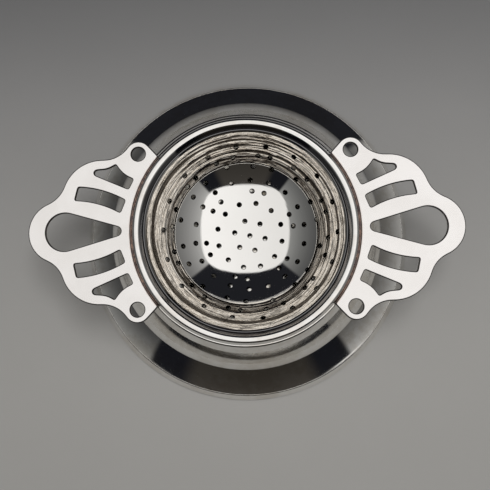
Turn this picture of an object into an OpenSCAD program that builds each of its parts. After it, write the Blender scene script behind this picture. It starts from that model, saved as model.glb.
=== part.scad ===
// Two-handled tea strainer lying on its pedestal drip stand.
// The origin is on the table, under the middle of the stand. The handles lie along X.

/* [Stand] */
// Height of the stand's mouth above the table
stand_height = 24.1; // [23.8:0.1:28]
// Outside diameter of the collar round the stand's mouth
mouth_diameter = 76.2; // [75.8:0.1:78.4]
// Radius of the hollow flare where it runs out to the foot
flare_radius = 27.6; // [26:0.1:29]
// Thickness of the spun sheet
stand_sheet = 0.8; // [0.6:0.1:1]
// Height of the drip cup's floor above the table
cup_floor_height = 1.6; // [1.2:0.1:2]

/* [Strainer] */
// Diameter of the bowl's open mouth, where it meets the ring
bowl_diameter = 62.6; // [61:0.1:63]
// Depth of the bowl below the top of the handles
bowl_depth = 19; // [15:0.1:19.5]
// Thickness of the bowl's sheet
bowl_sheet = 0.6; // [0.4:0.1:0.8]
// Diameter of each pierced hole
pierced_hole = 1.5; // [1:0.1:1.8]
// How far the pierced pattern sits off the bowl's axis
pattern_shift = 1.2; // [-1.2:0.1:1.2]

/* [Handles] */
// Distance across both handles, tip to tip
handle_span = 134.2; // [130:0.1:136]
// Thickness of the handle plates
handle_sheet = 1.2; // [1:0.1:1.5]
// Diameter of the round hole in each handle lobe
lobe_hole = 4.4; // [3:0.1:5]

/* [Fit] */
// Clearance between the strainer and the mouth of the stand
rest_gap = 0.2; // [0.1:0.1:0.4]

/* [Hidden] */
$fn = 144;

// ---- Stand: collar, flare, foot and cup ----
mouth_radius = mouth_diameter / 2;
collar_height = 4.1;
collar_under = stand_height - collar_height;
collar_slope = 60;
collar_land = 0.25;
crest_round = 1.2;
crest_lean = 90 - collar_slope;
crest_drop = crest_round * (1 - sin(crest_lean));
crest_centre_r = mouth_radius - crest_round * cos(crest_lean)
    - (collar_height - collar_land - crest_drop) / tan(collar_slope);
collar_inner = crest_centre_r - crest_round;

// The flare is three hollow curves in line. Leans are of its normal above the level.
neck_top = mouth_radius - 0.05;
neck_lean = 25.1;
waist_lean = 29.3;
bend_lean = 50.9;
foot_lean = 71.5;
neck_radius = 130;
bend_radius = 11.9;
neck_centre = [neck_top, collar_under] + neck_radius * [cos(neck_lean), sin(neck_lean)];
bend_centre = neck_centre + (bend_radius - neck_radius) * [cos(waist_lean), sin(waist_lean)];
flare_centre = bend_centre + (flare_radius - bend_radius) * [cos(bend_lean), sin(bend_lean)];
foot_inner = flare_centre[0] - flare_radius * cos(foot_lean);
foot_top = flare_centre[1] - flare_radius * sin(foot_lean);
foot_face_lean = 38;
foot_shoulder = 1.2;
foot_toe = 0.6;

cup_outer = collar_inner + stand_sheet;
cup_corner = 12;

// ---- Strainer: ring, bowl and plates ----
plate_under = stand_height + rest_gap;
plate_top = plate_under + handle_sheet;
rim_inner = bowl_diameter / 2 + 0.1;
rim_outer = 35.3;
rim_wall = 0.4;
rim_rise = 1;
rim_crest_round = 1.4;
rim_crest_in = 2.1;
bowl_edge = plate_top - 0.3;
bowl_sphere = (pow(bowl_diameter / 2, 2) + pow(bowl_depth, 2)) / (2 * bowl_depth);
bowl_centre_z = plate_top - bowl_depth + bowl_sphere;

// Rings of the pierced pattern: radius in plan, first angle, angle between places,
// and the half angle between the two holes of a pair, or 0 for a single hole.
pattern_turn = 18;
hole_facets = 24;
hole_rings = [
    [5.3, 30, 60, 0],
    [11.1, 0, 30, 0],
    [14.9, 0, 60, 8],
    [18.3, -9.5, 20, 0],
    [22.3, 0, 60, 8],
    [23.1, 30, 60, 0],
    [25.2, 0, 60, 4.5],
    [25.2, 30, 60, 6.5],
    [27.6, 0, 20, 0]
];

// ---- Handle outline: three lobes a side, blended by hollow curves ----
tip_round = 9.7;
tip_lobe = [handle_span / 2 - tip_round, 0];
shoulder_round = 12.4;
shoulder_lobe = [44.5, 10.2];
eye_round = 4.1;
eye_lobe = [33, 24.1];
eye_root = [26.6, 23.2];
blend_round = 9;
handle_core = 20;

// Points on an arc round a centre, from one angle to another
function arc(centre, radius, from, to, steps) = [
    for (i = [0 : steps])
        let (a = from + (to - from) * i / steps)
            centre + radius * [cos(a), sin(a)]
];

// Centre of the circle of radius r3 that touches circles 1 and 2 from outside,
// on the left of the way from circle 1 to circle 2
function touching_centre(c1, r1, c2, r2, r3) =
    let (
        gap = norm(c2 - c1),
        along = (pow(r1 + r3, 2) - pow(r2 + r3, 2) + pow(gap, 2)) / (2 * gap),
        across = sqrt(pow(r1 + r3, 2) - pow(along, 2)),
        way = (c2 - c1) / gap
    )
    c1 + along * way + across * [-way[1], way[0]];

tip_blend = touching_centre(shoulder_lobe, shoulder_round, tip_lobe, tip_round, blend_round);
eye_blend = touching_centre(eye_lobe, eye_round, shoulder_lobe, shoulder_round, blend_round);

// Bearing, from a circle's centre, of the place where a line from a point just touches the circle:
// anticlockwise of the point for side 1, clockwise of it for side -1
function tangent_angle(point, centre, radius, side) =
    let (way = point - centre)
        atan2(way[1], way[0]) + side * acos(radius / norm(way));

// Spun wall of the stand: a nearly straight neck that bends out into the foot
module stand_pedestal() {
    inner_end = acos((flare_centre[0] - foot_inner) / (flare_radius + stand_sheet));
    inner_start = asin((neck_centre[1] - collar_under) / (neck_radius + stand_sheet));
    color("gainsboro")
        rotate_extrude()
            polygon(concat(
                arc(neck_centre, neck_radius, 180 + neck_lean, 180 + waist_lean, 12),
                arc(bend_centre, bend_radius, 180 + waist_lean, 180 + bend_lean, 24),
                arc(flare_centre, flare_radius, 180 + bend_lean, 180 + foot_lean, 24),
                arc(flare_centre, flare_radius + stand_sheet, 180 + inner_end, 180 + bend_lean, 24),
                arc(bend_centre, bend_radius + stand_sheet, 180 + bend_lean, 180 + waist_lean, 24),
                arc(neck_centre, neck_radius + stand_sheet, 180 + waist_lean, 180 + inner_start, 12)
            ));
}

// Collar round the mouth: a rounded crest that the handles rest on, and a sloping outer face
module mouth_collar() {
    crest_centre = [crest_centre_r, stand_height - crest_round];
    color("whitesmoke")
        rotate_extrude()
            polygon(concat(
                [
                    [collar_inner, collar_under],
                    [mouth_radius, collar_under],
                    [mouth_radius, collar_under + collar_land]
                ],
                arc(crest_centre, crest_round, crest_lean, 180, 20)
            ));
}

// Cup that catches the drips, hung inside the mouth
module drip_cup() {
    inner = cup_outer - stand_sheet;
    corner = [inner - cup_corner, cup_floor_height + stand_sheet + cup_corner];
    color("silver")
        rotate_extrude()
            polygon(concat(
                [[0, cup_floor_height]],
                arc(corner, cup_corner + stand_sheet, 270, 360, 24),
                [[cup_outer, collar_under], [inner, collar_under]],
                arc(corner, cup_corner, 360, 270, 24),
                [[0, cup_floor_height + stand_sheet]]
            ));
}

// Turned-down foot edge: a rounded shoulder, a leaning face and a small toe on the table
module foot_ring() {
    shoulder = [foot_inner, foot_top] - foot_shoulder * [cos(foot_lean), sin(foot_lean)];
    face_top = shoulder + foot_shoulder * [cos(foot_face_lean), sin(foot_face_lean)];
    toe_r = face_top[0]
        + ((face_top[1] - foot_toe) * sin(foot_face_lean) - foot_toe) / cos(foot_face_lean);
    color("lightgray")
        rotate_extrude()
            polygon(concat(
                [[foot_inner, 0]],
                arc([toe_r, foot_toe], foot_toe, -90, foot_face_lean, 12),
                arc(shoulder, foot_shoulder, foot_face_lean, foot_lean, 12)
            ));
}

// One pierced hole, square to the bowl's wall at its place in the plan
module bowl_hole(radius, angle) {
    hole_run = 2;
    place = [pattern_shift + radius * cos(angle), radius * sin(angle)];
    reach = norm(place);
    translate([0, 0, bowl_centre_z])
        rotate([0, 0, atan2(place[1], place[0])])
            rotate([0, 180 - asin(reach / bowl_sphere), 0])
                translate([0, 0, bowl_sphere - hole_run])
                    cylinder(d = pierced_hole, h = 2 * hole_run, $fn = hole_facets);
}

// All the holes: one in the middle, then the rings of singles and pairs
module bowl_holes() {
    bowl_hole(0, 0);
    for (ring = hole_rings)
        for (turn = [0 : ring[2] : 359])
            for (side = ring[3] == 0 ? [0] : [-1, 1])
                bowl_hole(ring[0], pattern_turn + ring[1] + turn + side * ring[3]);
}

// Spun, pierced bowl: a shallow part of a sphere
module strainer_bowl() {
    color("darkkhaki")
        difference() {
            intersection() {
                translate([0, 0, bowl_centre_z]) sphere(r = bowl_sphere + bowl_sheet);
                cylinder(r = rim_inner, h = bowl_edge);
            }
            translate([0, 0, bowl_centre_z]) sphere(r = bowl_sphere);
            bowl_holes();
        }
}

// Ring round the bowl: a round crest between two straight flanks
module strainer_rim() {
    crest = [rim_inner + rim_crest_in, plate_top + rim_rise - rim_crest_round];
    inner_wall = [rim_inner, plate_under + rim_wall];
    outer_wall = [rim_outer, plate_under + rim_wall];
    outer_meet = tangent_angle(outer_wall, crest, rim_crest_round, 1);
    inner_meet = tangent_angle(inner_wall, crest, rim_crest_round, -1) + 360;
    color("white")
        rotate_extrude()
            polygon(concat(
                [[rim_inner, plate_under], [rim_outer, plate_under], outer_wall],
                arc(crest, rim_crest_round, outer_meet, inner_meet, 24),
                [inner_wall]
            ));
}

// Half of the handle outline above the X axis, before its blends are cut
module handle_half() {
    eye_edge = tangent_angle(eye_root, eye_lobe, eye_round, -1);
    translate(tip_lobe) circle(r = tip_round);
    translate(shoulder_lobe) circle(r = shoulder_round);
    translate(eye_lobe) circle(r = eye_round);
    polygon([
        [handle_core, 0],
        tip_lobe,
        tip_blend,
        shoulder_lobe,
        eye_blend,
        eye_lobe,
        eye_lobe + eye_round * [cos(eye_edge), sin(eye_edge)],
        eye_root
    ]);
}

// Rounded-tip slot that narrows to a drop towards the ring
module drop_slot() {
    outer_round = 5.9;
    outer = [55.7, 0];
    inner_round = 1.4;
    inner = [39.6, 0];
    lean = asin((outer_round - inner_round) / (outer[0] - inner[0]));
    translate(outer) circle(r = outer_round);
    translate(inner) circle(r = inner_round);
    polygon([
        inner + inner_round * [-sin(lean), cos(lean)],
        outer + outer_round * [-sin(lean), cos(lean)],
        outer + outer_round * [-sin(lean), -cos(lean)],
        inner + inner_round * [-sin(lean), -cos(lean)]
    ]);
}

// Slot between two arcs, with square ends
module curved_slot() {
    outer_top = [51.7, 14];
    inner_top = [37, 9.6];
    inner_under = [38.5, 5.8];
    outer_under = [52.7, 9.9];
    bulge = 0.9;
    polygon(concat(
        bowed(inner_top, outer_top, bulge),
        bowed(outer_under, inner_under, -bulge)
    ));
}

// Points on a shallow curve from one point to another, standing out to its left by the bulge
function bowed(from, to, bulge, steps = 12) =
    let (way = (to - from) / norm(to - from))
        [for (i = [0 : steps])
            let (t = i / steps)
                from + t * (to - from) + 4 * bulge * t * (1 - t) * [-way[1], way[0]]];

// Small slot that swells to a point on its outer side
module leaf_slot() {
    inner_under = [36, 13.1];
    inner_top = [34.5, 16.2];
    peak = [40, 21];
    neck = [44.2, 19.4];
    tip = [45.9, 18.4];
    tip_radius = 0.9;
    polygon(concat(
        bowed(inner_top, peak, -0.7),
        bowed(peak, neck, -0.35),
        [tip + [0, tip_radius], tip, tip - [0, tip_radius], inner_under]
    ));
    translate(tip) circle(r = tip_radius);
}

// Flat outline of one handle plate with its piercings
module handle_outline() {
    difference() {
        union() {
            handle_half();
            mirror([0, 1]) handle_half();
        }
        circle(r = rim_outer);
        drop_slot();
        for (side = [0, 1])
            mirror([0, side]) {
                translate(tip_blend) circle(r = blend_round);
                translate(eye_blend) circle(r = blend_round);
                translate(eye_lobe) circle(d = lobe_hole);
                curved_slot();
                leaf_slot();
            }
    }
}

// Pierced plate soldered to the ring
module handle_plate() {
    translate([0, 0, plate_under]) linear_extrude(handle_sheet) handle_outline();
}

module handle_right() {
    color("seashell") handle_plate();
}

module handle_left() {
    color("linen") mirror([1, 0, 0]) handle_plate();
}

stand_pedestal();
mouth_collar();
drip_cup();
foot_ring();
strainer_bowl();
strainer_rim();
handle_right();
handle_left();
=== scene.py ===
"""Visual model of the two-handled tea strainer on its drip stand.

Profiles are in millimetres, as radius and height, or as x and y in plan. Meshes are in metres.
"""
import math

import bpy
import numpy as np
from mathutils import Matrix, Vector
from mathutils.geometry import delaunay_2d_cdt


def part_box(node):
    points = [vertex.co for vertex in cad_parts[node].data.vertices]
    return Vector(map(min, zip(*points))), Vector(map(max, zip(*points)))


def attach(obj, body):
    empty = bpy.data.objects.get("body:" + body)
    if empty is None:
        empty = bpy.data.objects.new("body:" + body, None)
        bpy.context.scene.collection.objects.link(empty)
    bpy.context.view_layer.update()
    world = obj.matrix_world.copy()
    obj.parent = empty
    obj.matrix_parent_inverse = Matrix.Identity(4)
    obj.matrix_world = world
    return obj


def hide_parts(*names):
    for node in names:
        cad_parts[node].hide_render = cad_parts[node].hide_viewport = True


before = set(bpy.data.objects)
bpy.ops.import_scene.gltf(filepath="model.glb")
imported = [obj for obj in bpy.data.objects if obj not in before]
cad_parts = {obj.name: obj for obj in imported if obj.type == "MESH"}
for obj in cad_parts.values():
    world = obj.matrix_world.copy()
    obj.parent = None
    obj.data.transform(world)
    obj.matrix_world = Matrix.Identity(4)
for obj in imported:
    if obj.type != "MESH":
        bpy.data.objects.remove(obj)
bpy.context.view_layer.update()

MM = 0.001

STAND = "stand"
STRAINER = "strainer"


# ---------------------------------------------------------------- sizes from the frame
def lowest(node):
    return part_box(node)[0][2] / MM


def highest(node):
    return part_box(node)[1][2] / MM


def reach(node):
    """Outside radius of a round node."""
    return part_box(node)[1][0] / MM


PLATE_UNDER = lowest("handle_right")
PLATE_TOP = highest("handle_right")
HANDLE_TIP = reach("handle_right")
COLLAR_TOP = highest("mouth_collar")
COLLAR_UNDER = lowest("mouth_collar")
MOUTH_RADIUS = reach("mouth_collar")
CUP_OUTER = reach("drip_cup")
CUP_FLOOR = lowest("drip_cup")
RIM_OUTER = reach("strainer_rim")
RIM_CREST = highest("strainer_rim")
BOWL_EDGE = highest("strainer_bowl")
BOWL_UNDER = lowest("strainer_bowl")
BOWL_OUTER = reach("strainer_bowl")

STAND_SHEET = 0.8
BOWL_SHEET = 0.6


# ---------------------------------------------------------------- outlines
def arc(centre, radius, start, end, steps):
    """Points on an arc, with its angles in degrees."""
    angles = np.radians(np.linspace(start, end, steps + 1))
    return np.c_[centre[0] + radius * np.cos(angles), centre[1] + radius * np.sin(angles)]


def bowed(start, end, bulge, steps=16):
    """Points on a shallow curve that stands out to the left of its chord."""
    start, end = np.array(start, float), np.array(end, float)
    way = (end - start) / np.linalg.norm(end - start)
    left = np.array([-way[1], way[0]])
    t = np.linspace(0, 1, steps + 1)[:, None]
    return start + t * (end - start) + 4 * bulge * t * (1 - t) * left


def touching_centre(c1, r1, c2, r2, r3):
    """Centre of the circle of radius r3 that touches circles 1 and 2 from outside."""
    c1, c2 = np.array(c1, float), np.array(c2, float)
    gap = np.linalg.norm(c2 - c1)
    along = ((r1 + r3) ** 2 - (r2 + r3) ** 2 + gap ** 2) / (2 * gap)
    across = math.sqrt((r1 + r3) ** 2 - along ** 2)
    way = (c2 - c1) / gap
    return c1 + along * way + across * np.array([-way[1], way[0]])


def bearing(centre, point):
    """Angle in degrees from a centre to a point."""
    return math.degrees(math.atan2(point[1] - centre[1], point[0] - centre[0]))


def polar(centre, radius, angle):
    """Point at an angle in degrees round a centre."""
    a = math.radians(angle)
    return np.array(centre, float) + radius * np.array([math.cos(a), math.sin(a)])


def tangent_angle(point, centre, radius, side):
    """Bearing from a centre of the place where a line from a point touches the circle."""
    spread = math.degrees(math.acos(radius / math.dist(point, centre)))
    return bearing(centre, point) + side * spread


def resample(points, step, closed):
    """Points at even steps along a path."""
    points = np.asarray(points, float)
    if closed:
        points = np.vstack([points, points[:1]])
    length = np.r_[0, np.cumsum(np.linalg.norm(np.diff(points, axis=0), axis=1))]
    count = max(8, int(length[-1] / step))
    at = np.linspace(0, length[-1], count + 1)
    even = np.c_[np.interp(at, length, points[:, 0]), np.interp(at, length, points[:, 1])]
    return even[:-1] if closed else even


def soften(points, closed=True, round_by=0.12, turn=3.0, longest=1.2):
    """Round a path's corners, then keep only the points that its curves need.

    Returns the points and the unit normals to the right of the path.
    """
    step = round_by / 3
    path = resample(points, step, closed)
    width = 9
    window = np.exp(-0.5 * (np.arange(-width, width + 1) / 3) ** 2)
    window /= window.sum()
    if closed:
        padded = np.vstack([path[-width:], path, path[:width]])
    else:
        before = 2 * path[0] - path[width:0:-1]
        after = 2 * path[-1] - path[-2:-width - 2:-1]
        padded = np.vstack([before, path, after])
    path = np.c_[np.convolve(padded[:, 0], window, "valid"),
                 np.convolve(padded[:, 1], window, "valid")]
    if closed:
        along = np.roll(path, -1, 0) - np.roll(path, 1, 0)
    else:
        along = np.gradient(path, axis=0)
    along /= np.linalg.norm(along, axis=1)[:, None]
    normal = np.c_[along[:, 1], -along[:, 0]]
    heading = np.degrees(np.unwrap(np.arctan2(along[:, 1], along[:, 0])))
    keep, last = [0], 0
    for i in range(1, len(path)):
        far = np.linalg.norm(path[i] - path[last]) > longest
        if far or abs(heading[i] - heading[last]) > turn:
            keep.append(i)
            last = i
    if not closed and keep[-1] != len(path) - 1:
        keep.append(len(path) - 1)
    return path[keep], normal[keep]


# ---------------------------------------------------------------- meshes
def make_piece(name, verts, faces, normals, body, node, material):
    """A smooth mesh object with its own normals, given in millimetres."""
    mesh = bpy.data.meshes.new(name)
    mesh.from_pydata((np.asarray(verts, float) * MM).tolist(), [], [list(f) for f in faces])
    mesh.validate()
    mesh.shade_smooth()
    mesh.normals_split_custom_set_from_vertices(np.asarray(normals, float).tolist())
    mesh.materials.append(material)
    piece = bpy.data.objects.new(name, mesh)
    bpy.context.collection.objects.link(piece)
    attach(piece, body)
    if node:
        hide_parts(node)
    return piece


def revolve(profile, normals, turns=192, closed=True):
    """Vertices, faces and normals of a profile turned round Z.

    The material is on the left of the profile, so its right side faces out.
    """
    angle = 2 * math.pi * np.arange(turns) / turns
    cos, sin = np.cos(angle), np.sin(angle)
    verts, out, rings = [], [], []
    for (r, z), (nr, nz) in zip(profile, normals):
        start = len(verts)
        if r < 1e-4:
            verts.append((0, 0, z))
            out.append((0, 0, math.copysign(1, nz)))
            rings.append([start] * turns)
            continue
        verts += list(zip(r * cos, r * sin, [z] * turns))
        out += list(zip(nr * cos, nr * sin, [nz] * turns))
        rings.append(list(range(start, start + turns)))
    faces = []
    last = len(rings) if closed else len(rings) - 1
    for i in range(last):
        low, high = rings[i], rings[(i + 1) % len(rings)]
        for j in range(turns):
            k = (j + 1) % turns
            corners = [low[j], low[k], high[k], high[j]]
            corners = list(dict.fromkeys(corners))
            faces.append(corners)
    return verts, faces, out


def lathe(name, outline, body, node, slot, material, closed=True, **options):
    """A turned piece, with the corners of its outline rounded."""
    profile, normals = soften(outline, closed, **options)
    if not closed:
        profile[[0, -1], 0] = 0.0
    verts, faces, out = revolve(profile, normals, closed=closed)
    return make_piece(name, verts, faces, out, body, node, material)


def fill(loops, extra=()):
    """Triangles that fill the first loop, less the other loops. Points keep their order."""
    points, edges = [], []
    for loop in loops:
        start = len(points)
        points += [Vector(p) for p in loop]
        edges += [(start + i, start + (i + 1) % len(loop)) for i in range(len(loop))]
    points += [Vector(p) for p in extra]
    outer = list(range(len(loops[0])))
    verts, _, faces, origin, _, _ = delaunay_2d_cdt(points, edges, [outer], 1, 1e-7)
    flat = np.array([v[:] for v in verts])
    middles = np.array([flat[face].mean(axis=0) for face in faces])
    kept = np.ones(len(faces), bool)
    for loop in loops[1:]:
        loop = np.array(loop)
        centre = loop.mean(axis=0)
        far = np.linalg.norm(loop - centre, axis=1).max()
        for i in np.nonzero(np.linalg.norm(middles - centre, axis=1) < far)[0]:
            kept[i] &= not inside(middles[i], loop)
    return [[origin[i][0] for i in face] for face, keep in zip(faces, kept) if keep]


def inside(point, loop):
    """Is a point inside a closed loop?"""
    x, y = point
    ax, ay = loop[:, 0], loop[:, 1]
    bx, by = np.roll(ax, -1), np.roll(ay, -1)
    across = (ay > y) != (by > y)
    with np.errstate(divide="ignore", invalid="ignore"):
        at = ax + (y - ay) * (bx - ax) / (by - ay)
    return bool(np.count_nonzero(across & (x < at)) % 2)


# ---------------------------------------------------------------- materials
# Metres from the axis. A pair gives where a mark starts to show and where it shows fully; the
# brim's dark mark is painted shade.
RIDGES_START = (0.0231, 0.0237)
RIDGES_END = (0.0312, 0.0306)
BRIM_SHADE_START = (0.0307, 0.0311)
WORN_EDGE = (0.0356, 0.0350)
# Radius inside which the ring's inner flank is painted dark as painted shade, and the width of
# its fade
CREASE_SHADE_RADIUS = 0.0325
CREASE_SHADE_FADE = 0.0003
# Dark band at the foot of the bowl's ridges, with the pair measured from its middle
LOW_BAND_RADIUS = 0.0247
LOW_BAND_EDGE = (0.0013, 0.0007)


class Nodes:
    """Short calls for building a node tree."""

    def __init__(self, tree):
        self.tree = tree
        tree.nodes.clear()

    def add(self, kind, **settings):
        node = self.tree.nodes.new("ShaderNode" + kind)
        for key, value in settings.items():
            setattr(node, key, value)
        return node

    def link(self, source, node, socket):
        self.tree.links.new(source, node.inputs[socket])

    def math(self, operation, a, b=0.0, c=0.0):
        node = self.add("Math", operation=operation)
        for index, value in enumerate((a, b, c)):
            if isinstance(value, (int, float)):
                node.inputs[index].default_value = value
            else:
                self.link(value, node, index)
        return node.outputs[0]

    def smooth(self, value, low, high, to_low=0.0, to_high=1.0):
        node = self.add("MapRange", interpolation_type="SMOOTHSTEP")
        self.link(value, node, "Value")
        node.inputs["From Min"].default_value = low
        node.inputs["From Max"].default_value = high
        node.inputs["To Min"].default_value = to_low
        node.inputs["To Max"].default_value = to_high
        return node.outputs["Result"]

    def noise(self, vector, scale, detail=4.0, roughness=0.5, distortion=0.0):
        node = self.add("TexNoise")
        self.link(vector, node, "Vector")
        node.inputs["Scale"].default_value = scale
        node.inputs["Detail"].default_value = detail
        node.inputs["Roughness"].default_value = roughness
        node.inputs["Distortion"].default_value = distortion
        return node.outputs["Fac"]

    def mix(self, factor, low, high):
        node = self.add("Mix", data_type="RGBA")
        self.link(factor, node, "Factor")
        for socket, value in (("A", low), ("B", high)):
            target = [s for s in node.inputs if s.name == socket and s.type == "RGBA"][0]
            if isinstance(value, tuple):
                target.default_value = (*value, 1.0)
            else:
                self.tree.links.new(value, target)
        return [s for s in node.outputs if s.type == "RGBA"][0]

    def bump(self, height, strength, distance, normal=None):
        node = self.add("Bump")
        node.inputs["Strength"].default_value = strength
        node.inputs["Distance"].default_value = distance
        self.link(height, node, "Height")
        if normal is not None:
            self.link(normal, node, "Normal")
        return node.outputs["Normal"]

    def place(self):
        """Object coordinates, and the distance and angle round the Z axis."""
        coords = self.add("TexCoord").outputs["Object"]
        split = self.add("SeparateXYZ")
        self.link(coords, split, 0)
        x, y, z = split.outputs
        flat = self.math("ADD", self.math("MULTIPLY", x, x), self.math("MULTIPLY", y, y))
        return coords, x, y, z, self.math("SQRT", flat), self.math("ARCTAN2", y, x)

    def vector(self, x, y, z):
        node = self.add("CombineXYZ")
        for index, value in enumerate((x, y, z)):
            if isinstance(value, (int, float)):
                node.inputs[index].default_value = value
            else:
                self.link(value, node, index)
        return node.outputs[0]


def new_material(name):
    material = bpy.data.materials.new(name)
    material.use_nodes = True
    return material, Nodes(material.node_tree)


def metal_shader(n, colour, roughness, normal):
    """Principled metal, with its constants on its own sockets."""
    shader = n.add("BsdfPrincipled")
    shader.inputs["Metallic"].default_value = 1.0
    n.link(colour, shader, "Base Color")
    n.link(roughness, shader, "Roughness")
    n.link(normal, shader, "Normal")
    output = n.add("OutputMaterial")
    n.link(shader.outputs[0], output, "Surface")
    return shader


def turned_plate(name, bright, tarnish, rough=0.03, ring_depth=0.0000006, crease_shade_radius=None):
    """Polished silver plate on a spun shape: faint turning rings, haze and wiping marks.

    Inside the crease radius, if there is one, the metal is painted dark as painted shade.
    """
    material, n = new_material(name)
    coords, x, y, z, radius, angle = n.place()
    haze = n.noise(coords, 70, 5, 0.6)
    spots = n.noise(coords, 420, 3, 0.55)
    stain = n.smooth(n.math("MULTIPLY", haze, n.math("ADD", spots, 0.55)), 0.42, 0.72)
    colour = n.mix(stain, bright, tarnish)
    if crease_shade_radius is not None:
        # Painted shade: the ring's inner flank inside the crease radius is painted near black.
        crease_shade = n.smooth(radius, crease_shade_radius + CREASE_SHADE_FADE, crease_shade_radius - CREASE_SHADE_FADE)
        colour = n.mix(n.math("MULTIPLY", crease_shade, 0.85), colour, (0.10, 0.10, 0.11))
    rings = n.noise(n.vector(n.math("MULTIPLY", radius, 900), n.math("MULTIPLY", z, 900),
                             n.math("MULTIPLY", angle, 0.8)), 1.0, 3, 0.6)
    wipes = n.noise(n.vector(n.math("MULTIPLY", x, 500), n.math("MULTIPLY", y, 9000), z), 1.0, 2)
    roughness = n.math("ADD", n.math("MULTIPLY", haze, 0.05), rough)
    roughness = n.math("ADD", roughness, n.math("MULTIPLY", n.smooth(wipes, 0.55, 0.8), 0.06))
    normal = n.bump(rings, 1.0, ring_depth)
    metal_shader(n, colour, roughness, normal)
    return material


def bowl_plate(name):
    """The pierced bowl: clear at the bottom, ridged up its wall, and painted dark at its brim as
    painted shade.
    """
    material, n = new_material(name)
    coords, x, y, z, radius, angle = n.place()
    up_wall = n.math("MULTIPLY", n.smooth(radius, *RIDGES_START),
                     n.smooth(radius, *RIDGES_END))
    haze = n.noise(coords, 130, 5, 0.6)
    cos, sin = n.math("DIVIDE", x, radius), n.math("DIVIDE", y, radius)

    def round_noise(turns, steps, detail, wobble):
        place = n.vector(n.math("MULTIPLY", cos, turns), n.math("MULTIPLY", sin, turns),
                         n.math("MULTIPLY", radius, steps))
        return n.noise(place, 1.0, detail, 0.5, wobble)

    rings = round_noise(0.5, 1250, 2, 0.1)
    dashes = round_noise(4.5, 2100, 2, 0.4)
    from_band = n.math("ABSOLUTE", n.math("SUBTRACT", radius, LOW_BAND_RADIUS))
    low_band = n.smooth(from_band, *LOW_BAND_EDGE)
    grooves = n.math("ADD", n.math("MULTIPLY", n.smooth(dashes, 0.57, 0.65), 0.6),
                     n.smooth(rings, 0.545, 0.58))
    grooves = n.math("ADD", grooves, n.math("MULTIPLY", low_band, 0.55))
    grooves = n.math("MINIMUM", n.math("MULTIPLY", grooves, up_wall), 0.95)
    clear = n.mix(haze, (0.90, 0.895, 0.875), (0.95, 0.945, 0.93))
    warm = n.mix(haze, (0.99, 0.94, 0.87), (0.92, 0.86, 0.78))
    colour = n.mix(up_wall, clear, warm)
    colour = n.mix(grooves, colour, (0.060, 0.048, 0.036))
    # Painted shade: the top of the bowl's wall, just under the ring's crest, is painted near
    # black.
    brim = n.smooth(radius, *BRIM_SHADE_START)
    colour = n.mix(n.math("MULTIPLY", brim, 0.85), colour, (0.07, 0.07, 0.078))
    height = n.math("ADD", rings, n.math("MULTIPLY", dashes, 0.3))
    height = n.math("MULTIPLY", height, n.math("ADD", n.math("MULTIPLY", up_wall, 0.99), 0.01))
    normal = n.bump(height, 1.0, 0.0005)
    roughness = n.math("ADD", n.math("MULTIPLY", haze, 0.05), 0.02)
    metal_shader(n, colour, roughness, normal)
    return material


def handle_plate(name):
    """Flat handle metal: bright satin, small pits, rounded edges painted dark as painted shade,
    coppery wear by the solder.
    """
    material, n = new_material(name)
    coords, x, y, z, radius, angle = n.place()
    cloud = n.noise(coords, 90, 5, 0.6)
    grain = n.noise(coords, 2600, 3, 0.6)
    colour = n.mix(n.smooth(cloud, 0.3, 0.75), (0.955, 0.94, 0.93), (0.90, 0.88, 0.865))
    ragged = n.math("MULTIPLY", n.noise(coords, 900, 4, 0.7), 0.0009)
    worn = n.smooth(n.math("SUBTRACT", radius, ragged), *WORN_EDGE)
    colour = n.mix(n.math("MULTIPLY", worn, 0.6), colour, (0.70, 0.52, 0.43))
    cells = n.add("TexVoronoi", feature="F1")
    n.link(coords, cells, "Vector")
    cells.inputs["Scale"].default_value = 330
    cells.inputs["Randomness"].default_value = 1.0
    pit = n.smooth(cells.outputs["Distance"], 0.10, 0.03)
    chosen = n.smooth(n.noise(coords, 210, 2), 0.58, 0.66)
    pit = n.math("MULTIPLY", pit, chosen)
    colour = n.mix(n.math("MULTIPLY", pit, 0.55), colour, (0.45, 0.37, 0.31))
    # Painted shade: where the shading normal leans well off vertical, on the rounded edges, the
    # colour is painted near black.
    shape = n.add("SeparateXYZ")
    n.link(n.add("TexCoord").outputs["Normal"], shape, 0)
    edge_shade = n.smooth(n.math("ABSOLUTE", shape.outputs[2]), 0.985, 0.93)
    colour = n.mix(n.math("MULTIPLY", edge_shade, 0.95), colour, (0.045, 0.04, 0.037))
    roughness = n.math("ADD", n.math("MULTIPLY", grain, 0.10), 0.13)
    roughness = n.math("ADD", roughness, n.math("MULTIPLY", cloud, 0.08))
    waves = n.bump(cloud, 1.0, 0.00003)
    normal = n.bump(n.math("SUBTRACT", n.math("MULTIPLY", grain, 0.05), pit), 1.0, 0.00002, waves)
    metal_shader(n, colour, roughness, normal)
    return material


def solder_metal(name):
    """Dull solder with a coppery edge."""
    material, n = new_material(name)
    coords, x, y, z, radius, angle = n.place()
    patches = n.noise(coords, 700, 5, 0.65)
    colour = n.mix(n.smooth(patches, 0.35, 0.7), (0.13, 0.10, 0.10), (0.36, 0.25, 0.20))
    roughness = n.math("ADD", n.math("MULTIPLY", patches, 0.3), 0.25)
    metal_shader(n, colour, roughness, n.bump(patches, 1.0, 0.00008))
    return material


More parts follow.
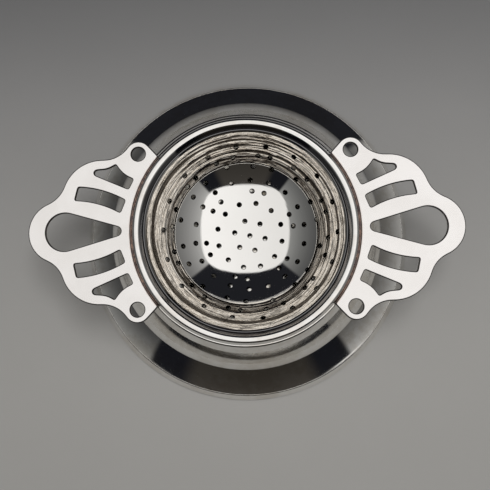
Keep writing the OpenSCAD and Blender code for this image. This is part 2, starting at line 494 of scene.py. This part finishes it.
def floor_material():
    """Matt pale board with a faint mottle, painted darker towards the back and fading further
    back as painted shade.
    """
    material, n = new_material("floor_board")
    coords, x, y, z, radius, angle = n.place()
    # Painted shade: the board's colour darkens from front to back, standing in for the light's
    # fall-off.
    back = n.smooth(y, -0.06, 0.12)
    mottle = n.noise(coords, 30, 4, 0.6)
    near = n.mix(mottle, (0.241, 0.237, 0.227), (0.253, 0.249, 0.239))
    far = n.mix(mottle, (0.121, 0.121, 0.123), (0.130, 0.130, 0.132))
    # Painted shade: behind this distance the far colour fades exponentially towards black.
    falloff_start, falloff_length = 0.045, 0.15
    beyond = n.math("MAXIMUM", n.math("SUBTRACT", y, falloff_start), 0.0)
    light_falloff = n.math("POWER", math.e, n.math("DIVIDE", beyond, -falloff_length))
    far = n.mix(light_falloff, (0.012, 0.012, 0.012), far)
    shader = n.add("BsdfPrincipled")
    shader.inputs["Roughness"].default_value = 0.75
    shader.inputs["Specular IOR Level"].default_value = 0.25
    n.link(n.mix(back, near, far), shader, "Base Color")
    fibre = n.noise(coords, 3000, 2)
    n.link(n.bump(fibre, 0.3, 0.0001), shader, "Normal")
    output = n.add("OutputMaterial")
    n.link(shader.outputs[0], output, "Surface")
    return material


# ---------------------------------------------------------------- the stand
NECK_RADIUS, BEND_RADIUS, FLARE_RADIUS = 130, 11.9, 27.6
NECK_LEAN, WAIST_LEAN, BEND_LEAN, FOOT_LEAN = 25.1, 29.3, 50.9, 71.5
NECK_CENTRE = polar((MOUTH_RADIUS - 0.05, COLLAR_UNDER), NECK_RADIUS, NECK_LEAN)
BEND_CENTRE = polar(NECK_CENTRE, BEND_RADIUS - NECK_RADIUS, WAIST_LEAN)
FLARE_CENTRE = polar(BEND_CENTRE, FLARE_RADIUS - BEND_RADIUS, BEND_LEAN)
FOOT_INNER, FOOT_TOP = polar(FLARE_CENTRE, FLARE_RADIUS, 180 + FOOT_LEAN)


def stand_pedestal(material):
    """Nearly straight neck that bends out into the foot."""
    flare_inside, neck_inside = FLARE_RADIUS + STAND_SHEET, NECK_RADIUS + STAND_SHEET
    inner_end = math.degrees(math.acos((FLARE_CENTRE[0] - FOOT_INNER) / flare_inside))
    inner_start = math.degrees(math.asin((NECK_CENTRE[1] - COLLAR_UNDER) / neck_inside))
    bend_inside = BEND_RADIUS + STAND_SHEET
    outline = np.vstack([
        arc(NECK_CENTRE, neck_inside, 180 + inner_start, 180 + WAIST_LEAN, 40),
        arc(BEND_CENTRE, bend_inside, 180 + WAIST_LEAN, 180 + BEND_LEAN, 40),
        arc(FLARE_CENTRE, flare_inside, 180 + BEND_LEAN, 180 + inner_end, 60),
        arc(FLARE_CENTRE, FLARE_RADIUS, 180 + FOOT_LEAN, 180 + BEND_LEAN, 60),
        arc(BEND_CENTRE, BEND_RADIUS, 180 + BEND_LEAN, 180 + WAIST_LEAN, 40),
        arc(NECK_CENTRE, NECK_RADIUS, 180 + WAIST_LEAN, 180 + NECK_LEAN, 40),
    ])
    lathe("pedestal_wall", outline, STAND, "stand_pedestal", "stand_plate", material,
          turn=1.0, round_by=0.06)


def mouth_collar(material):
    """Collar with a rounded crest and a sloping outer face."""
    slope, crest_round, land = 60, 1.2, 0.25
    lean = math.radians(90 - slope)
    drop = crest_round * (1 - math.sin(lean))
    run = (COLLAR_TOP - COLLAR_UNDER - land - drop) / math.tan(math.radians(slope))
    crest = (MOUTH_RADIUS - crest_round * math.cos(lean) - run, COLLAR_TOP - crest_round)
    outline = np.vstack([
        [[crest[0] - crest_round, COLLAR_UNDER], [MOUTH_RADIUS, COLLAR_UNDER],
         [MOUTH_RADIUS, COLLAR_UNDER + land]],
        arc(crest, crest_round, 90 - slope, 180, 60),
    ])
    lathe("collar_ring", outline, STAND, "mouth_collar", "stand_plate", material)


def drip_cup(material):
    """Cup that catches the drips."""
    corner_round = 12
    inner = CUP_OUTER - STAND_SHEET
    corner = (inner - corner_round, CUP_FLOOR + STAND_SHEET + corner_round)
    outline = np.vstack([
        [[0, CUP_FLOOR]],
        arc(corner, corner_round + STAND_SHEET, 270, 360, 90),
        [[CUP_OUTER, COLLAR_UNDER], [inner, COLLAR_UNDER]],
        arc(corner, corner_round, 360, 270, 90),
        [[0, CUP_FLOOR + STAND_SHEET]],
    ])
    lathe("drip_cup_shell", outline, STAND, "drip_cup", "cup_plate", material, closed=False)


def foot_ring(material):
    """Turned-down foot: rounded shoulder, leaning face and a small toe."""
    lean, shoulder_round, toe_round = 38, 1.2, 0.6
    shoulder = polar((FOOT_INNER, FOOT_TOP), shoulder_round, 180 + FOOT_LEAN)
    face_top = polar(shoulder, shoulder_round, lean)
    cos, sin = math.cos(math.radians(lean)), math.sin(math.radians(lean))
    toe_r = face_top[0] + ((face_top[1] - toe_round) * sin - toe_round) / cos
    outline = np.vstack([
        [[FOOT_INNER, 0]],
        arc((toe_r, toe_round), toe_round, -90, lean, 40),
        arc(shoulder, shoulder_round, lean, FOOT_LEAN, 40),
    ])
    lathe("foot_edge", outline, STAND, "foot_ring", "stand_plate", material, round_by=0.06)


# ---------------------------------------------------------------- the strainer's ring and bowl
def strainer_rim(material):
    """Ring round the bowl, with a round crest between two straight flanks."""
    crest_round, wall = 1.4, 0.4
    crest = (BOWL_OUTER + 2.1, RIM_CREST - crest_round)
    inner_wall, outer_wall = (BOWL_OUTER, PLATE_UNDER + wall), (RIM_OUTER, PLATE_UNDER + wall)
    outer_meet = tangent_angle(outer_wall, crest, crest_round, 1)
    inner_meet = tangent_angle(inner_wall, crest, crest_round, -1) % 360
    outline = np.vstack([
        [[BOWL_OUTER, PLATE_UNDER], [RIM_OUTER, PLATE_UNDER], outer_wall],
        arc(crest, crest_round, outer_meet, inner_meet, 90),
        [inner_wall],
    ])
    lathe("bowl_ring", outline, STRAINER, "strainer_rim", "rim_plate", material)


PATTERN_SHIFT = 1.2
PATTERN_TURN = 18
HOLE_RADIUS = 0.75
# Radius in plan, first angle, angle between places, half angle of a pair (0 for one hole)
HOLE_RINGS = (
    (5.3, 30, 60, 0), (11.1, 0, 30, 0), (14.9, 0, 60, 8), (18.3, -9.5, 20, 0),
    (22.3, 0, 60, 8), (23.1, 30, 60, 0), (25.2, 0, 60, 4.5), (25.2, 30, 60, 6.5),
    (27.6, 0, 20, 0),
)


def hole_places():
    """Every pierced hole's place in plan."""
    places = [(PATTERN_SHIFT, 0.0)]
    for radius, first, step, pair in HOLE_RINGS:
        for turn in range(0, 360, step):
            for side in ([0] if pair == 0 else [-1, 1]):
                a = math.radians(PATTERN_TURN + first + turn + side * pair)
                places.append((PATTERN_SHIFT + radius * math.cos(a), radius * math.sin(a)))
    return places


def strainer_bowl(material):
    """Pierced bowl: two spherical skins joined by rounded holes and a rounded brim."""
    mouth = BOWL_OUTER - 0.1
    depth = PLATE_TOP - BOWL_UNDER - BOWL_SHEET
    inner = (mouth ** 2 + depth ** 2) / (2 * depth)
    outer = inner + BOWL_SHEET
    centre_z = BOWL_UNDER + outer
    lip = 0.16
    lip_steps = 4
    spokes = 24
    brim_turns = 256

    verts, normals, faces = [], [], []

    def add_ring(points, directions):
        start = len(verts)
        verts.extend(points)
        normals.extend(directions)
        return list(range(start, start + len(points)))

    def bridge(low, high):
        for j in range(len(low)):
            k = (j + 1) % len(low)
            faces.append([low[j], low[k], high[k], high[j]])

    # The brim, from the inner skin over the edge to the outer skin
    drop = centre_z - BOWL_EDGE
    start_angle = math.degrees(math.acos(drop / inner))
    end_angle = math.degrees(math.asin(BOWL_OUTER / outer))
    margin = 1.2
    skin_in = arc((0, centre_z), inner, -90 + start_angle - margin, -90 + start_angle, 12)
    skin_out = arc((0, centre_z), outer, -90 + end_angle, -90 + end_angle - margin, 12)
    outline = np.vstack([skin_in, [[BOWL_OUTER, BOWL_EDGE]], skin_out])
    path, side = soften(outline[::-1], closed=False, round_by=0.06)
    path, side = path[::-1], side[::-1]
    turn = 2 * np.pi * np.arange(brim_turns) / brim_turns
    cos, sin = np.cos(turn), np.sin(turn)
    brim = []
    for (r, z), (nr, nz) in zip(path, side):
        brim.append(add_ring(np.c_[r * cos, r * sin, np.full(brim_turns, z)].tolist(),
                             np.c_[nr * cos, nr * sin, np.full(brim_turns, nz)].tolist()))
    for low, high in zip(brim, brim[1:]):
        bridge(high, low)

    # The holes
    inner_rings, outer_rings = [], []
    spin = 2 * np.pi * np.arange(spokes) / spokes
    sphere_centre = np.array([0, 0, centre_z])
    for x, y in hole_places():
        flat = math.hypot(x, y)
        tilt = math.asin(flat / inner)
        az = math.atan2(y, x)
        axis = np.array([math.sin(tilt) * math.cos(az), math.sin(tilt) * math.sin(az),
                         -math.cos(tilt)])
        across = np.array([-math.sin(az), math.cos(az), 0])
        along = np.cross(axis, across)
        rays = np.cos(spin)[:, None] * across + np.sin(spin)[:, None] * along
        wide = HOLE_RADIUS + lip
        start = math.sqrt(inner ** 2 - wide ** 2)
        stop = math.sqrt(outer ** 2 - wide ** 2)
        rings = []
        for skin, base, sense in ((0, start, 1), (1, stop, -1)):
            steps = range(lip_steps + 1) if skin == 0 else range(lip_steps, -1, -1)
            for k in steps:
                a = math.pi / 2 * k / lip_steps
                rho = wide - lip * math.sin(a)
                level = base + sense * lip * (1 - math.cos(a))
                points = sphere_centre + level * axis + rho * rays
                facing = -sense * math.cos(a) * axis - math.sin(a) * rays
                if k == 0:
                    outwards = points - sphere_centre
                    outwards /= np.linalg.norm(outwards, axis=1)[:, None]
                    facing = -sense * outwards
                rings.append(add_ring(points.tolist(), facing.tolist()))
        for low, high in zip(rings, rings[1:]):
            bridge(low, high)
        inner_rings.append(rings[0])
        outer_rings.append(rings[-1])

    # The skins, filled in a flat map where distance from the middle is the angle down the wall
    def flat_map(point):
        x, y, z = point
        r = math.hypot(x, y)
        theta = math.atan2(r, centre_z - z)
        return (theta * x / r, theta * y / r) if r > 1e-9 else (0.0, 0.0)

    for skin, radius, edge, hole_rings in ((0, inner, brim[0], inner_rings),
                                           (1, outer, brim[-1], outer_rings)):
        rim = [flat_map(verts[i]) for i in edge]
        limit = math.hypot(*rim[0]) * radius - 0.5
        centres = [np.mean([flat_map(verts[i]) for i in ring], axis=0) for ring in hole_rings]
        centres = np.array(centres)
        extra, spacing = [], 0.9
        for level in range(1, int(limit / spacing) + 1):
            r = level * spacing
            count = max(6, int(2 * math.pi * r / spacing))
            for j in range(count):
                a = 2 * math.pi * (j + 0.5 * (level % 2)) / count
                p = np.array([r * math.cos(a), r * math.sin(a)]) / radius
                if np.linalg.norm(centres - p, axis=1).min() * radius > HOLE_RADIUS + lip + 0.35:
                    extra.append(tuple(p))
        loops = [rim] + [[flat_map(verts[i]) for i in ring] for ring in hole_rings]
        index = list(edge) + [i for ring in hole_rings for i in ring]
        facing = 1 if skin == 0 else -1
        for px, py in extra:
            theta = math.hypot(px, py)
            s = math.sin(theta) / theta
            away = np.array([px * s, py * s, -math.cos(theta)])
            index.append(len(verts))
            verts.append((sphere_centre + radius * away).tolist())
            normals.append((-facing * away).tolist())
        for face in fill(loops, extra):
            face = [index[i] for i in face]
            a, b, c = (np.array(verts[i]) for i in face[:3])
            lookout = np.cross(b - a, c - a) @ (a - sphere_centre)
            faces.append(face if lookout * facing < 0 else face[::-1])
    make_piece("pierced_bowl", verts, faces, normals, STRAINER, "strainer_bowl",
               material)


# ---------------------------------------------------------------- the handles
TIP_ROUND = 9.7
TIP_LOBE = (HANDLE_TIP - TIP_ROUND, 0.0)
SHOULDER_ROUND = 12.4
SHOULDER_LOBE = (44.5, 10.2)
EYE_ROUND = 4.1
EYE_LOBE = (33.0, 24.1)
EYE_HOLE = 2.2
EYE_ROOT = (26.6, 23.2)
BLEND_ROUND = 9.0


def handle_edge():
    """Outer outline of a handle: lobes blended by hollow curves, closed along the ring."""
    tip_blend = touching_centre(SHOULDER_LOBE, SHOULDER_ROUND, TIP_LOBE, TIP_ROUND, BLEND_ROUND)
    eye_blend = touching_centre(EYE_LOBE, EYE_ROUND, SHOULDER_LOBE, SHOULDER_ROUND, BLEND_ROUND)
    tip_end = bearing(TIP_LOBE, tip_blend)
    shoulder_start = bearing(SHOULDER_LOBE, tip_blend)
    shoulder_end = bearing(SHOULDER_LOBE, eye_blend)
    eye_start = bearing(EYE_LOBE, eye_blend)
    eye_end = tangent_angle(EYE_ROOT, EYE_LOBE, EYE_ROUND, -1) % 360
    edge = polar(EYE_LOBE, EYE_ROUND, eye_end)
    way = (EYE_ROOT - edge) / np.linalg.norm(EYE_ROOT - edge)
    along = edge @ way
    corner = edge - way * (along + math.sqrt(along ** 2 - edge @ edge + RIM_OUTER ** 2))
    upper = np.vstack([
        arc(TIP_LOBE, TIP_ROUND, 0, tip_end, 40),
        arc(tip_blend, BLEND_ROUND, tip_end - 180, shoulder_start - 180, 30)[1:],
        arc(SHOULDER_LOBE, SHOULDER_ROUND, shoulder_start, shoulder_end, 50)[1:],
        arc(eye_blend, BLEND_ROUND, shoulder_end - 180, eye_start - 180, 30)[1:],
        arc(EYE_LOBE, EYE_ROUND, eye_start, eye_end, 40)[1:],
        arc((0, 0), RIM_OUTER, bearing((0, 0), corner), 0, 60),
    ])
    lower = (upper * [1, -1])[::-1][1:-1]
    return np.vstack([upper, lower])


def drop_slot():
    """Slot shaped like a drop, with its point towards the ring."""
    outer_round, outer, inner_round, inner = 5.9, (55.7, 0), 1.4, (39.6, 0)
    lean = math.degrees(math.asin((outer_round - inner_round) / (outer[0] - inner[0])))
    return np.vstack([
        arc(outer, outer_round, -90 - lean, 90 + lean, 80),
        arc(inner, inner_round, 90 + lean, 270 - lean, 30),
    ])


def curved_slot():
    """Slot between two shallow curves."""
    inner_top, outer_top = (37.0, 9.6), (51.7, 14.0)
    inner_under, outer_under = (38.5, 5.8), (52.7, 9.9)
    return np.vstack([bowed(outer_under, inner_under, -0.9)[::-1],
                      bowed(inner_top, outer_top, 0.9)[::-1]])


def leaf_slot():
    """Small slot that swells to a point on its outer side."""
    inner_under, inner_top = (36, 13.1), (34.5, 16.2)
    peak, neck = (40, 21), (44.2, 19.4)
    tip, tip_round = (45.9, 18.4), 0.9
    return np.vstack([
        [inner_under],
        arc(tip, tip_round, -65, 85, 16),
        bowed(peak, neck, -0.35)[::-1],
        bowed(inner_top, peak, -0.7)[::-1][1:],
    ])


def counter_clockwise(loop):
    x, y = loop[:, 0], loop[:, 1]
    area = np.sum(x * np.roll(y, -1) - np.roll(x, -1) * y)
    return loop if area > 0 else loop[::-1]


def handle(name, side, node, material):
    """Flat pierced plate with rolled edges. Side is 1 for +X and -1 for -X."""
    outline_round, slot_round, edge_steps = 0.5, 0.4, 6
    slots = [drop_slot()]
    for half in (1, -1):
        slots.append(arc(EYE_LOBE, EYE_HOLE, 0, 360, 60)[:-1] * [1, half])
        slots.append(curved_slot() * [1, half])
        slots.append(leaf_slot() * [1, half])
    outlines = [counter_clockwise(handle_edge())]
    outlines += [counter_clockwise(slot)[::-1] for slot in slots]

    verts, normals, faces = [], [], []
    tops, unders = [], []
    for number, outline in enumerate(outlines):
        edge_round = outline_round if number == 0 else slot_round
        path, out = soften(outline, round_by=edge_round, turn=4)
        rings = []
        for quarter in (-1, 1):
            steps = np.linspace(-90, 0, edge_steps + 1) if quarter < 0 else \
                np.linspace(0, 90, edge_steps + 1)
            for angle in np.radians(steps):
                inset = edge_round * (1 - math.cos(angle))
                z = (PLATE_UNDER + edge_round * (1 + math.sin(angle)) if quarter < 0
                     else PLATE_TOP - edge_round * (1 - math.sin(angle)))
                start = len(verts)
                for p, q in zip(path - out * inset, out):
                    verts.append((side * p[0], p[1], z))
                    normals.append((side * q[0] * math.cos(angle), q[1] * math.cos(angle),
                                    math.sin(angle)))
                rings.append(list(range(start, len(verts))))
        for low, high in zip(rings, rings[1:]):
            for j in range(len(low)):
                k = (j + 1) % len(low)
                face = [low[j], low[k], high[k], high[j]]
                faces.append(face if side > 0 else face[::-1])
        unders.append(rings[0])
        tops.append(rings[-1])
    for rings, up in ((tops, 1), (unders, -1)):
        loops = [[(verts[i][0] * side, verts[i][1]) for i in ring] for ring in rings]
        index = [i for ring in rings for i in ring]
        for face in fill(loops):
            face = [index[i] for i in face]
            a, b, c = (np.array(verts[i]) for i in face[:3])
            turned = np.cross(b - a, c - a)[2] * up > 0
            faces.append(face if turned else face[::-1])
    make_piece(name, verts, faces, normals, STRAINER, node, material)


def solder_seam(name, side, material):
    """Uneven bead of solder in the groove between the ring and a handle."""
    spread, steps, sides = 40.5, 160, 10
    bead_size, flatness = 0.27, 0.8
    middle_r, middle_z = RIM_OUTER - 0.02, PLATE_TOP - 0.3
    verts, normals, faces, rings = [], [], [], []
    for i in range(steps + 1):
        t = math.radians(-spread + 2 * spread * i / steps)
        wobble = 0.05 * math.sin(23 * t + side) + 0.04 * math.sin(61 * t + 2 * side)
        end = min(1.0, 6 * min(i, steps - i) / steps)
        size = (bead_size + wobble) * math.sqrt(max(end, 0.02))
        start = len(verts)
        for j in range(sides):
            a = 2 * math.pi * j / sides
            r, z = middle_r + size * math.cos(a), middle_z + flatness * size * math.sin(a)
            verts.append((side * r * math.cos(t), r * math.sin(t), z))
            normals.append((side * math.cos(a) * math.cos(t), math.cos(a) * math.sin(t),
                            math.sin(a)))
        rings.append(list(range(start, len(verts))))
    for low, high in zip(rings, rings[1:]):
        for j in range(sides):
            k = (j + 1) % sides
            face = [low[j], low[k], high[k], high[j]]
            faces.append(face if side < 0 else face[::-1])
    faces.append(rings[0] if side > 0 else rings[0][::-1])
    faces.append(rings[-1][::-1] if side > 0 else rings[-1])
    make_piece(name, verts, faces, normals, STRAINER, None, material)


# ---------------------------------------------------------------- the setting
def floor(material):
    """Board that the stand is on, in metres."""
    board_size = 0.9
    bpy.ops.mesh.primitive_plane_add(size=board_size, location=(0, 0, 0))
    board = bpy.context.object
    board.name = "floor"
    board.data.materials.append(material)


def light_tent():
    """Surroundings by direction: a light ceiling, grey sides, and dark front and back."""
    world = bpy.data.worlds.new("light_tent")
    bpy.context.scene.world = world
    world.use_nodes = True
    n = Nodes(world.node_tree)
    split = n.add("SeparateXYZ")
    n.link(n.add("TexCoord").outputs["Generated"], split, 0)
    x, y, z = split.outputs
    wide, deep = n.math("ABSOLUTE", x), n.math("ABSOLUTE", y)
    up = n.math("MAXIMUM", z, 0.001)
    square = 5.0    # a higher power gives the ceiling panel squarer corners
    powers = n.math("ADD", n.math("POWER", n.math("DIVIDE", wide, up), square),
                    n.math("POWER", n.math("DIVIDE", deep, up), square))
    size = n.math("POWER", powers, 1 / square)
    panel = n.smooth(size, 1.04, 0.96)
    climb_power = 1.6
    climb = n.math("POWER", n.math("MINIMUM", n.math("DIVIDE", 1.0, size), 1.0), climb_power)
    sideways = n.smooth(n.math("SUBTRACT", wide, deep), -0.03, 0.03)
    right = n.smooth(x, -0.1, 0.1)
    back = n.smooth(y, -0.1, 0.1)
    walls = n.mix(climb, n.mix(right, (0.055, 0.055, 0.055), (0.115, 0.113, 0.11)),
                  n.mix(right, (0.27, 0.27, 0.262), (0.42, 0.415, 0.405)))
    slant = n.smooth(n.math("DIVIDE", wide, n.math("MAXIMUM", deep, 0.001)), 0.42, 0.62)
    front = n.mix(slant, (0.030, 0.027, 0.023), (0.008, 0.0085, 0.011))
    high_front = n.mix(slant, (0.05, 0.045, 0.04), (0.010, 0.0105, 0.013))
    ends = n.mix(climb, n.mix(back, front, (0.013, 0.0135, 0.0165)),
                 n.mix(back, high_front, (0.013, 0.0135, 0.0165)))
    around = n.mix(sideways, ends, walls)
    across = n.smooth(n.math("DIVIDE", x, up), -0.9, 0.9)
    lit = n.mix(across, (0.82, 0.805, 0.785), (0.975, 0.955, 0.935))
    colour = n.mix(panel, around, lit)
    background = n.add("Background")
    n.link(colour, background, "Color")
    background.inputs["Strength"].default_value = 1.0
    output = n.add("OutputWorld")
    n.link(background.outputs[0], output, "Surface")


def lamp():
    """Soft light from above on the right, which mirrors don't show."""
    data = bpy.data.lights.new("soft_lamp", "AREA")
    data.shape = "DISK"
    data.size = 0.30
    data.energy = 2.5    # watts
    lamp_object = bpy.data.objects.new("soft_lamp", data)
    bpy.context.collection.objects.link(lamp_object)
    place = Vector((0.08, 0.14, 0.55))
    facing = place.to_track_quat("Z", "Y").to_matrix().to_4x4()
    lamp_object.matrix_world = Matrix.Translation(place) @ facing
    lamp_object.visible_glossy = False


def camera():
    """Camera above the strainer, tipped a little towards the front."""
    distance, aside, ahead = 152.9, 0.02, 5.0
    tip, roll, turn = (math.radians(a) for a in (-5.61, -1.30, 0.93))
    view = Matrix.Rotation(turn, 3, "Z")
    view = view @ Matrix.Rotation(tip, 3, "X") @ Matrix.Rotation(roll, 3, "Y")
    data = bpy.data.cameras.new("camera")
    data.sensor_width = 36
    data.lens = 36.73
    data.clip_start = 0.001
    camera_object = bpy.data.objects.new("camera", data)
    bpy.context.collection.objects.link(camera_object)
    place = view.transposed() @ Vector((-aside, -ahead, distance)) + Vector((0, 0, PLATE_TOP))
    camera_object.matrix_world = Matrix.Translation(place * MM) @ view.transposed().to_4x4()
    bpy.context.scene.camera = camera_object


camera()
light_tent()
lamp()
floor(floor_material())

stand_metal = turned_plate("stand_silver", (0.92, 0.91, 0.885), (0.80, 0.77, 0.72))
cup_metal = turned_plate("cup_silver", (0.86, 0.85, 0.82), (0.72, 0.68, 0.62), rough=0.08)
rim_metal = turned_plate("rim_silver", (0.94, 0.935, 0.92), (0.86, 0.83, 0.79),
                         crease_shade_radius=CREASE_SHADE_RADIUS)
bowl_metal = bowl_plate("bowl_silver")
handle_metal = handle_plate("handle_silver")
solder = solder_metal("solder")

stand_pedestal(stand_metal)
mouth_collar(stand_metal)
drip_cup(cup_metal)
foot_ring(stand_metal)
strainer_rim(rim_metal)
strainer_bowl(bowl_metal)
handle("handle_plate_right", 1, "handle_right", handle_metal)
handle("handle_plate_left", -1, "handle_left", handle_metal)
solder_seam("solder_right", 1, solder)
solder_seam("solder_left", -1, solder)

bpy.context.scene.view_settings.view_transform = "Standard"
